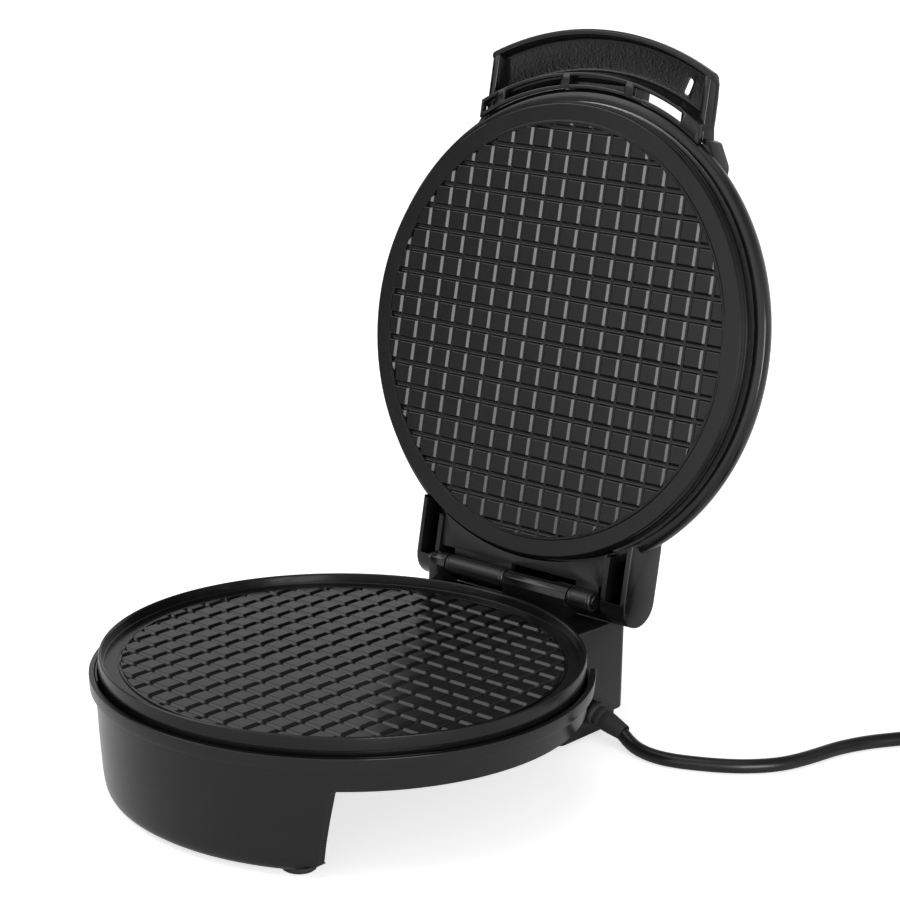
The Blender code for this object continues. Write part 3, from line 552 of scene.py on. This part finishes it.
def makeRearBlock():
    half, back, top = baseLook["blockHalf"], baseLook["blockBack"], baseLook["top"]
    corners = rounded([(-half, 66), (half, 66), (half, back), (-half, back)], [0, 0, 4.5, 4.5], 6)
    rear = slab("rear", corners, "z", baseLook["blockLow"], top)
    for vertex in rear.data.vertices:            # the top edge at the back
        vertex.select = vertex.co.z > 40 * mm and vertex.co.y > at(0, 110, 0).y
    choose(rear)
    bpy.ops.object.mode_set(mode="EDIT")
    bpy.ops.mesh.select_mode(type="VERT")
    bpy.ops.transform.translate(value=(0, baseLook["blockLean"] * mm, 0))
    bpy.ops.object.mode_set(mode="OBJECT")
    soften(rear, 0.7, 2, 40)
    cut(rear, block("rear_front", (-60, 60), (40, baseLook["blockFront"]), (0, baseLook["arch"])))
    cut(rear, turned("rear_inside", [(0, 39.0), (97.6, 39.0), (97.6, 60), (0, 60)], wideSteps))
    half, (near, far) = baseLook["roomHalf"], baseLook["room"]
    inside = rounded([(-half, near), (half, near), (half, far), (-half, far)], 3.0, 4)
    cut(rear, slab("rear_room", inside, "z", 4, baseLook["arch"] - 0.6))
    cut(rear, slab("neck_seat", ringOf(*baseLook["seat"], 64), "x", -70, 70))
    return cut(rear, alongExit(turned("cord_bore", baseLook["bore"], 40)))


def makeRims():
    first, last = baseLook["frontSector"]
    top, change = baseLook["top"], baseLook["rimChange"]
    rims = [turned("front_rim", rounded([(98.15, 46.6), (99.15, 46.6), (99.2, top), (98.15, top)],
                                        [0, 0, 0.45, 0.3], 3), 72, span=(first, last))]
    for begin, end, outer in ((last, change, baseLook["rightRim"]), (change, first + 360, baseLook["leftRim"])):
        profile = rounded([(98.7, 44.6), (outer - 0.3, 45.2), (outer, top + 0.2), (99.4, top + 0.2), (99.2, 46.8),
                           (98.7, 46.4)], [0, 0.3, 0.3, 0.25, 0, 0], 4)
        rims.append(turned("side_rim", profile, 110, span=(begin, end)))
    return rims


lugLook = {"ends": ((-46.0, -37.5), (-4.1, 30.3)), "round": [0, 1, 2, 2, 2, 2, 2, 1, 0],
           "web": [(105.6, 49.0), (105.8, 59.0), (106.4, 61.9), (108.1, 63.5), (110.1, 63.95), (112.1, 63.5),
                   (113.8, 61.9), (114.4, 59.0), (116.2, 49.0)]}


def makeLugs():                                  # fixed knuckles that stand on the rear block
    web = rounded(lugLook["web"], lugLook["round"], 3)
    return joinPieces(*[soften(slab("lug", web, "x", *ends), 0.5, 2, 50) for ends in lugLook["ends"]])


# feet: x, y and the height of the wall that each one sits on
footLook = {"sunk": 0.25, "places": {"foot_front_right": (44.9, -72.4, 2.6), "foot_front_left": (-44.9, -72.4, 2.6),
                                     "foot_rear_right": (36.0, 112.0, 2.2), "foot_rear_left": (-36.0, 112.0, 2.2)},
            "profile": [(0, 0), (5.2, 0), (5.2, 0.5), (5.6, 0.5), (5.6, 0), (6.1, 0.05), (6.6, 0.45), (6.8, 1.1)]}


def makeFoot(name, x, y, seat):
    top = seat - footLook["sunk"]
    return turned(name, footLook["profile"] + [(6.8, top), (0, top)], 48, (x, y))


housing = turned("base_shell", baseLook["wall"], wideSteps)
makeFrontLeg(housing)
unite(housing, makeRearBlock())
joinPieces(housing, *makeRims())
joinPieces(housing, makeLugs())
done(housing, "glossBlack", "base", ("base_housing",), 30)
for name, place in footLook["places"].items():
    done(makeFoot(name.replace("foot", "rubber_foot"), *place), "softRubber", "base", (name,))
print("base made")


# Both plates have flat pads between crossing grooves, inside a thin band and a lower flat ring.
# groove: distance from its middle line and depth; band and side: radius and height from the plate's face
plateLook = {"pitch": 10.2, "padRadius": 89.3, "padMargin": 4, "padDepth": 2.2, "bandInner": 88.75, "bandOuter": 89.9,
             "ringDrop": 0.55, "smooth": 14,
             "groove": ((-1.62, 0.0), (-1.40, 0.10), (-0.62, 1.02), (-0.42, 1.12), (0.42, 1.12), (0.62, 1.02),
                        (1.40, 0.10), (1.62, 0.0))}
pitch = plateLook["pitch"]
lowerLook = {"face": 54.0, "facing": 1, "linesX": [(i + 0.702) * pitch for i in range(-10, 10)],
             "linesY": [(j - 0.302) * pitch for j in range(-9, 11)],
             "side": [(95.6, -0.55), (96.0, -0.3), (96.35, 2.9), (96.6, 3.4), (97.0, 3.6), (97.4, 3.55),
                      (97.7, 3.25), (97.8, 2.7), (97.8, -1.6), (97.5, -1.9), (97.5, -7.4), (95.6, -7.4),
                      (95.4, -4.0), (0, -4.0)]}
upperLook = {"face": 57.9, "facing": -1, "linesX": [(i - 8) * pitch - 1.18 for i in range(-1, 18)],
             "linesY": [-(8.5 - j) * pitch for j in range(0, 18)],
             "side": [(96.9, -0.55), (97.3, -0.7), (97.55, -1.1), (97.7, -1.9), (98.05, -2.1), (98.15, -3.4),
                      (98.5, -3.65), (98.55, -5.2), (98.3, -5.5), (96.0, -5.5), (95.6, -4.0), (0, -4.0)]}


def grooveDepth(offset):
    steps = plateLook["groove"]
    for (a, da), (b, db) in zip(steps, steps[1:]):
        if a <= offset <= b:
            return da + (db - da) * (offset - a) / (b - a)
    return 0.0


def gridRow(lines):                              # places of the grid's lines and the depth at each
    edge = plateLook["padRadius"] + plateLook["padMargin"]
    marks = sorted({round(line + offset, 4) for line in lines for offset, depth in plateLook["groove"]
                    if abs(line + offset) < edge - 0.5})
    across = [-edge] + marks + [edge]
    return across, [max(grooveDepth(value - line) for line in lines) for value in across]


def padField(name, look):
    level, facing = look["face"], look["facing"]
    acrossX, depthX = gridRow(look["linesX"])
    acrossY, depthY = gridRow(look["linesY"])
    clearSelection()
    bpy.ops.mesh.primitive_grid_add(x_subdivisions=len(acrossX) - 1, y_subdivisions=len(acrossY) - 1, size=2 * mm)
    field = bpy.context.object
    field.name = field.data.name = name
    for vertex in field.data.vertices:
        j, i = divmod(vertex.index, len(acrossX))
        vertex.co = at(acrossX[i], acrossY[j], level - facing * max(depthX[i], depthY[j]))
    drawOut((0, 0, -facing * plateLook["padDepth"] * mm))
    tidyMesh(field)
    r = plateLook["padRadius"]
    trim = turned("trim", [(0, level - 6), (r, level - 6), (r, level + 6), (0, level + 6)], wideSteps)
    return combine(field, "INTERSECT", trim)


def makePlate(name, look):
    pads = padField("pads", look)
    inner, outer, drop = plateLook["bandInner"], plateLook["bandOuter"], plateLook["ringDrop"]
    band = [(0, -1.9), (inner - 0.08, -1.9), (inner, -0.12), (inner + 0.14, 0.0), (outer - 0.18, 0.0),
            (outer - 0.05, -0.06), (outer + 0.12, -drop + 0.06), (outer + 0.30, -drop)]
    profile = [(r, look["face"] + look["facing"] * h) for r, h in band + look["side"]]
    plate = joinPieces(pads, turned("rim", profile, wideSteps))
    plate.name = plate.data.name = name
    return plate


done(makePlate("lower_grooved_plate", lowerLook), "nonstick", "base", ("lower_baking_plate",),
     plateLook["smooth"])
done(makePlate("upper_grooved_plate", upperLook), "nonstick", "lid", ("upper_baking_plate",),
     plateLook["smooth"])
print("plates made")


lidLook = {"bandHalf": 58.0, "neckLow": 60.4, "neckHigh": 82.6, "neckEnd": 107.0, "cheek": (45.2, 55.6),
           "cheekWall": 2.2,
           "dome": [(0, 80.3), (40, 79.9), (70, 78.7), (89.2, 76.7), (96.4, 75.0), (99.4, 73.2), (101.0, 70.4),
                    (101.1, 68.6), (98.9, 67.2), (98.9, 66.3), (102.2, 66.2), (103.2, 66.5), (103.8, 67.1),
                    (104.05, 68.1), (104.05, 69.8), (103.8, 71.2), (103.2, 72.8), (102.3, 74.3), (101.0, 75.7),
                    (99.2, 76.8), (96.8, 77.7), (93.5, 78.5), (88.0, 79.4), (80.0, 80.3), (70.0, 81.15),
                    (56.0, 81.9), (40.0, 82.45), (20.0, 82.75), (0, 82.8)],
           "room": [(0, 50), (101.2, 50), (101.2, 70.4), (99.4, 73.2), (96.4, 75.0), (89.2, 76.7), (70, 78.7),
                    (0, 79.5)]}


def neckOutline(reach, low, high, radius):       # side view of the neck with its full-round end
    end = lidLook["neckEnd"]
    middle = (lidLook["neckLow"] + lidLook["neckHigh"]) / 2
    arc = [(108.2 + (radius - 0.3) * math.cos(math.radians(a)), middle + radius * math.sin(math.radians(a)))
           for a in range(-84, 85, 12)]
    return [(reach, low), (end, low)] + arc + [(end, high), (86.0, high), (reach, high - 0.9)]


def makeLidShell():
    shell = turned("lid_shell", lidLook["dome"], wideSteps)
    half = lidLook["bandHalf"]
    neck = slab("neck", neckOutline(74.0, lidLook["neckLow"], lidLook["neckHigh"], 11.1), "x", -half, half)
    soften(neck, 0.8, 3, 50)
    cut(neck, turned("dome_room", lidLook["room"], wideSteps))
    inner = neckOutline(80.0, 50.0, 80.2, 8.8)
    near, far = lidLook["cheek"]
    outer = near + lidLook["cheekWall"]
    for low, high in ((-far, -outer), (outer, far), (-near, near)):
        cut(neck, slab("neck_pocket", inner, "x", low, high))
    cut(neck, block("leaf_clear", (-near, near), (98.0, 140.0), (50.0, 70.5)))
    return unite(shell, neck)


rootLook = {"height": (69.4, 80.6), "round": [0, 3, 5, 2, 0],
            "outline": [(57.3, -62), (65.0, -62), (65.8, -79), (60.4, -88.5), (57.3, -89.5)]}


def makeRoots():                                 # thick shoulders that carry the handle
    roots = []
    for side in (1, -1):
        outer = rounded([(side * x, y) for x, y in rootLook["outline"]], rootLook["round"], 5)
        roots.append(soften(slab("root", outer, "z", *rootLook["height"]), 0.9, 4, 40))
    return joinPieces(*roots)


leafLook = {"half": 45.0, "reach": (84.0, 109.8), "height": (61.4, 64.6), "front": 99.4,
            "notches": ((-50.0, -37.1), (-4.5, 30.7), (43.0, 50.0)), "rolls": ((-37.05, -4.55), (30.75, 42.95)),
            # radius and distance from the nearer end of a roll, whose ends each have a fine ring
            "rollEnd": [(1.8, 0), (3.9, 0), (4.25, 0.35), (4.3, 1.4), (4.12, 1.6), (4.3, 1.8)],
            "arm": 41, "armHalf": 3.5, "armReach": (98.0, 102.5), "armHeight": (63.8, 79.9)}


def makeLeaf():
    half, front = leafLook["half"], leafLook["front"]
    leaf = block("hinge_leaf", (-half, half), leafLook["reach"], leafLook["height"])
    cut(leaf, turned("leaf_front", [(0, 50), (front, 50), (front, 72), (0, 72)], wideSteps))
    for ends in leafLook["notches"]:
        cut(leaf, block("leaf_notch", ends, (103.4, 125.0), (55.0, 72.0)))
    soften(leaf, 0.4, 2, 50)
    rolls = []
    for low, high in leafLook["rolls"]:
        farEnd = [(r, high - low - gone) for r, gone in reversed(leafLook["rollEnd"])]
        roll = turned("knuckle", leafLook["rollEnd"] + farEnd, 48)
        rolls.append(laidAlong(roll, at(low, hingeY, hingeZ), Vector((1, 0, 0))))
    arms = []
    for x in (leafLook["arm"], -leafLook["arm"]):
        ends = (x - leafLook["armHalf"], x + leafLook["armHalf"])
        arms.append(soften(block("arm", ends, leafLook["armReach"], leafLook["armHeight"]), 0.4, 2, 50))
    return joinPieces(leaf, *rolls, *arms)


done(joinPieces(makeLidShell(), makeRoots()), "glossBlack", "lid", ("lid_housing",), 30)
done(makeLeaf(), "satinBlack", "lid", ("lid_hinge_leaf",))
print("lid shell made")


# trough and web: radius and height; hole: x and y; cheek: y and height of the walls at the trough's ends
handleLook = {"trough": [(108.9, 68.2), (110.9, 68.0), (112.6, 74.3), (126.6, 73.6), (127.4, 69.2), (127.8, 68.4),
                         (129.4, 68.4), (130.1, 69.2), (130.0, 72.4), (129.0, 74.4), (126.4, 75.7), (121.0, 76.3),
                         (114.0, 76.5), (108.9, 76.2)],
              "troughRound": [0.5, 0.6, 1.6, 1.6, 0.6, 0.3, 0.4, 0.6, 1.2, 1.2, 1.6, 3.0, 3.0, 0.6],
              "hole": [(40.6, -107.4), (44.2, -105.6), (46.4, -112.4), (43.2, -114.6)],
              "holeRound": [0.8, 1.6, 1.6, 1.6],
              "cheek": [(-87.4, 69.4), (-92, 68.7), (-116.2, 68.7), (-116.4, 73.2), (-113.4, 75.5), (-104, 76.4),
                        (-94, 77.0), (-87.4, 78.6)],
              "cheekRound": [1.5, 0, 0.8, 1.4, 2.0, 3, 2, 1.5], "cheekEnds": (54.6, 57.9),
              "web": [(104.3, 72.0), (109.2, 69.0), (110.4, 76.1), (104.3, 76.1)], "webReach": (-57.0, 20.5),
              # radius, height and half width of the trough's floor, which takes pebbled grain and a darker tone that
              # is painted shade
              "pebbledShadeZone": ((111.2, 127.6), (69.6, 74.9), 54.4)}


def frontPart(piece, ends):                      # keeps what lies between two ends on the lid's front edge
    return combine(piece, "INTERSECT", block("zone", ends, (-150, -58), (40, 100)))


def makeHandle():
    half = lidLook["bandHalf"]
    grip = turned("grip", rounded(handleLook["trough"], handleLook["troughRound"], 4), handleSteps)
    frontPart(grip, (-half, half))
    cut(grip, slab("hanging_hole", rounded(handleLook["hole"], handleLook["holeRound"], 5), "z", 70.5, 90))
    parts = [soften(grip, 0.35, 2, 50)]
    cheek = rounded(handleLook["cheek"], handleLook["cheekRound"], 4)
    for side in (1, -1):
        ends = sorted(side * x for x in handleLook["cheekEnds"])
        parts.append(soften(slab("end_wall", cheek, "x", *ends), 0.6, 3, 50))
    parts.append(frontPart(turned("web", handleLook["web"], handleSteps), handleLook["webReach"]))
    return joinPieces(*parts)


# faces of the trough's floor, which take the pebbled finish with its painted shade
def inTrough(centre):
    (near, far), (low, high), half = handleLook["pebbledShadeZone"]
    reach = math.hypot(centre.x, centre.y - plateY) / mm
    return near < reach < far and low * mm < centre.z < high * mm and abs(centre.x) < half * mm


grilleLook = {"ring": [(104.5, 64.9), (111.1, 64.9), (111.1, 67.7), (104.5, 67.7)],
              "slot": [(105.9, 60), (109.8, 60), (109.8, 75), (105.9, 75)],
              "slots": ((-57.0, -50.5), (-45.5, -16.0), (-11.5, 18.0), (22.5, 48.5))}


def makeGrille():
    half = lidLook["bandHalf"]
    grille = frontPart(turned("grille", grilleLook["ring"], handleSteps), (-half, half))
    for ends in grilleLook["slots"]:
        cut(grille, frontPart(turned("slot", grilleLook["slot"], handleSteps), ends))
    return soften(grille, 0.35, 2, 50)


podLook = {"outline": [(-16, -58), (16, -58), (16, -107.6), (-16, -107.6)], "round": [6, 6, 1, 1],
           "height": (68.4, 87.4), "slope": [(-50, 92), (-50, 82.6), (-58, 83.2), (-68, 87.6), (-72, 92)],
           # the lid's outside with a thin gap
           "saddle": [(0, 50), (104.4, 50), (104.4, 69.9), (104.1, 71.3), (103.5, 73.0), (102.6, 74.5),
                      (101.2, 76.0), (99.4, 77.1), (97.0, 78.0), (93.7, 78.8), (88.0, 79.7), (70.0, 81.45),
                      (40.0, 82.75), (0, 83.1)],
           "lampX": 7.0, "lampY": -88.0, "lampHole": [(0, 84.4), (3.8, 84.4), (3.8, 95), (0, 95)],
           "lens": [(0, 84.5), (3.45, 84.5), (3.5, 87.5), (3.35, 88.1), (2.9, 88.6), (2.2, 88.95), (1.2, 89.2),
                    (0, 89.3)]}


def makePod():                                   # housing of the two indicator lamps on the lid's back
    pod = slab("lamp_pod", rounded(podLook["outline"], podLook["round"], 6), "z", *podLook["height"])
    cut(pod, slab("pod_slope", podLook["slope"], "x", -40, 40))
    soften(pod, 1.2, 4, 40)
    cut(pod, turned("saddle", podLook["saddle"], wideSteps))
    for x in (-podLook["lampX"], podLook["lampX"]):
        cut(pod, turned("lens_hole", podLook["lampHole"], 40, (x, podLook["lampY"])))
    return pod


def makeLens(name, x):
    return turned(name, podLook["lens"], 40, (x, podLook["lampY"]))


# the trough's floor takes the pebbled finish, darker than the rest of the grip as painted shade
done(makeHandle(), "glossBlack", "lid", ("handle_grip",), inlay=("pebbledShadedBlack", inTrough))
done(makeGrille(), "glossBlack", "lid", ("vent_grille",))
done(makePod(), "satinBlack", "lid", ("indicator_pod",))
done(makeLens("red_lamp", -podLook["lampX"]), "redLens", "lid", ("power_lamp_lens",))
done(makeLens("green_lamp", podLook["lampX"]), "greenLens", "lid", ("ready_lamp_lens",))
print("handle and lamps made")


# finishes of the solids that stay as they are, by words in their names
keptNodes = {"blackSteel": ("pin",), "zincSteel": ("screw",), "sheetAluminium": ("shield",),
             "elementSheath": ("element",), "ceramic": ("thermostat", "fuse", "terminal", "carrier"),
             "satinBlack": ("cover", "clamp")}
for name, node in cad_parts.items():
    finish = next((kind for kind, words in keptNodes.items() if any(word in name for word in words)), "glossBlack")
    node.data.materials.clear()
    node.data.materials.append(materials[finish])
print("kept nodes finished")


# sky: brightness at the horizon and overhead; side: brightness at the left and right of what lies ahead;
# lights: name, way from the middle of the object, distance, size and power
studio = {"floorSize": 9, "floorTone": 0.9, "floorGlow": 0.6, "mottle": 0.99,
          "sky": (0.84, 0.2), "sideWay": (-0.28, 0.0), "side": (0.02, 2.1), "sideAxis": (0.87, -0.48),
          "sun": {"way": (-0.25, -0.2, 0.95), "angle": 60.0, "strength": 0.8},
          "lights": (("key", (-0.62, -0.49, 0.61), 1.7, 0.9, 7.0), ("right", (0.90, -0.42, 0.10), 1.9, 1.0, 30.0))}


def makeFloor():
    clearSelection()
    bpy.ops.mesh.primitive_plane_add(size=studio["floorSize"], location=(0, 0, 0))
    floor = bpy.context.object
    floor.name = floor.data.name = "studio_floor"
    paint = bpy.data.materials.new("floorPaint")
    paint.use_nodes = True
    tree = paint.node_tree
    start = Signal(tree)
    place = start.node("ShaderNodeTexCoord", output="Object")
    mottle = start.node("ShaderNodeTexNoise", None, {"Vector": place, "Scale": 3.0}, "Fac")
    tone, dim = studio["floorTone"], studio["floorTone"] * studio["mottle"]
    mix = start.node("ShaderNodeMix", {"data_type": "RGBA"}, {"Factor": mottle, "A": (tone, tone, tone, 1),
                                                             "B": (dim, dim, dim, 1)}, "Result")
    shader = tree.nodes["Principled BSDF"]
    tree.links.new(mix.socket, shader.inputs["Base Color"])
    shader.inputs["Roughness"].default_value = 0.9
    shader.inputs["Specular IOR Level"].default_value = 0.2
    shader.inputs["Emission Color"].default_value = (1, 1, 1, 1)
    seen = start.node("ShaderNodeLightPath", output="Is Camera Ray")      # the glow is seen but lights nothing
    tree.links.new((seen * studio["floorGlow"]).socket, shader.inputs["Emission Strength"])
    floor.data.materials.append(paint)


def makeSky():
    world = bpy.data.worlds.new("studio")
    bpy.context.scene.world = world
    world.use_nodes = True
    tree = world.node_tree
    start = Signal(tree)
    heading = start.node("ShaderNodeTexCoord", output="Generated")
    across, ahead, height = [start.node("ShaderNodeSeparateXYZ", None, {"Vector": heading}, axis) for axis in "XYZ"]

    def slope(value, low, high, before, after):
        return start.node("ShaderNodeMapRange", {"interpolation_type": "SMOOTHSTEP"},
                          {"Value": value, "From Min": low, "From Max": high, "To Min": before, "To Max": after})
    sky = slope(height, 0.0, 0.85, *studio["sky"])
    front = slope(ahead, -0.45, 0.05, 1.0, 0.0)
    alongX, alongY = studio["sideAxis"]
    side = slope(across * alongX + ahead * alongY, *studio["sideWay"], *studio["side"])
    glow = sky * (side * front + (1 - front))
    tree.links.new(glow.socket, tree.nodes["Background"].inputs["Color"])
    tree.nodes["Background"].inputs["Strength"].default_value = 1.0


def makeLamps():
    bpy.ops.object.light_add(type="SUN", location=(0, 0, 2))
    sun = bpy.context.object
    sun.data.energy = studio["sun"]["strength"]
    sun.data.angle = math.radians(studio["sun"]["angle"])
    sun.rotation_euler = Vector(studio["sun"]["way"]).to_track_quat("Z", "Y").to_euler()
    for name, way, distance, size, power in studio["lights"]:
        way = Vector(way).normalized()
        bpy.ops.object.light_add(type="AREA", location=way * distance + Vector((0, 0, 0.1)))
        lamp = bpy.context.object
        lamp.name = name
        lamp.data.size = size
        lamp.data.energy = power
        lamp.rotation_euler = way.to_track_quat("Z", "Y").to_euler()


makeFloor()
makeSky()
makeLamps()
bpy.context.scene.view_settings.view_transform = "Standard"
print("studio lit")
